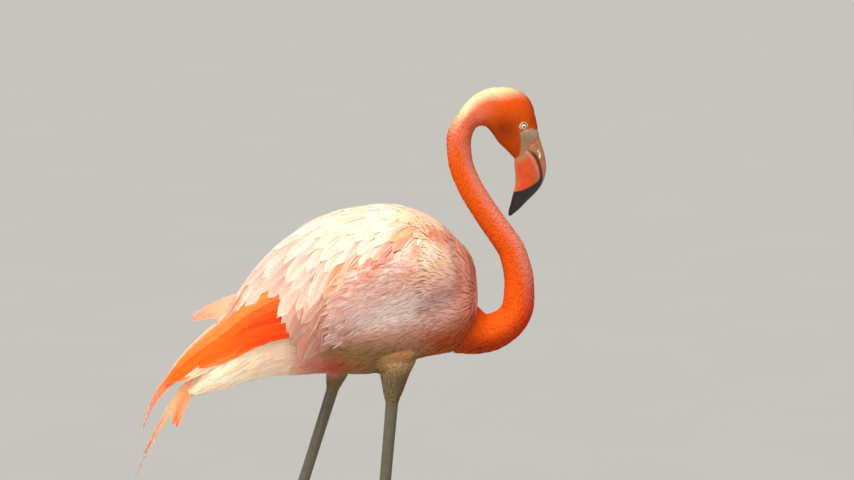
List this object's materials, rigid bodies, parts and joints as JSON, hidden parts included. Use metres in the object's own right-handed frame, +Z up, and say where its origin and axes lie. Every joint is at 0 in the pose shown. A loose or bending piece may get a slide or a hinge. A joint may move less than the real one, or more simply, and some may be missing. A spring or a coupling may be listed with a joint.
{
  "type": "american flamingo",
  "caption": "Life-size still model of a standing American flamingo: S-curved neck, downturned bill, folded wings, drooping tail plumes, long legs and webbed feet.",
  "frame": {"origin": "on the floor, under the middle of the bird's overall box", "axes": "+X the way the bird faces, +Y its left side, +Z up from the soles to the crown"},
  "size_m": [0.5794, 0.1788, 0.9696],
  "materials": {
    "neck_feathers": "velvety coral-orange feathers",
    "body_feathers": "soft pale pink feathers with salmon streaks",
    "wing_feathers": "layered pink, cream and orange vanes",
    "bill_upper": "satin horn, pinkish grey with a black tip",
    "bill_lower": "satin horn, orange with a black tip",
    "eye": "wet pale yellow iris round a black pupil",
    "leg_skin": "scaly grey-pink skin",
    "claw": "blunt dark horn"
  },
  "bodies": {
    "root": {"head": "neck_feathers", "neck_upper": "neck_feathers", "neck_middle": "neck_feathers", "neck_lower": "neck_feathers", "trunk": "body_feathers", "tail": "body_feathers", "wing_right": "wing_feathers", "wing_left": "wing_feathers", "thigh_right": "body_feathers", "thigh_left": "body_feathers", "bill_upper": "bill_upper", "bill_lower": "bill_lower", "eye_right": "eye", "eye_left": "eye", "shank_right": "leg_skin", "shank_left": "leg_skin", "tarsus_right": "leg_skin", "tarsus_left": "leg_skin", "foot_right": "leg_skin", "foot_left": "leg_skin", "claw_inner_right": "claw", "claw_middle_right": "claw", "claw_outer_right": "claw", "claw_inner_left": "claw", "claw_middle_left": "claw", "claw_outer_left": "claw"}
  },
  "joints": []
}
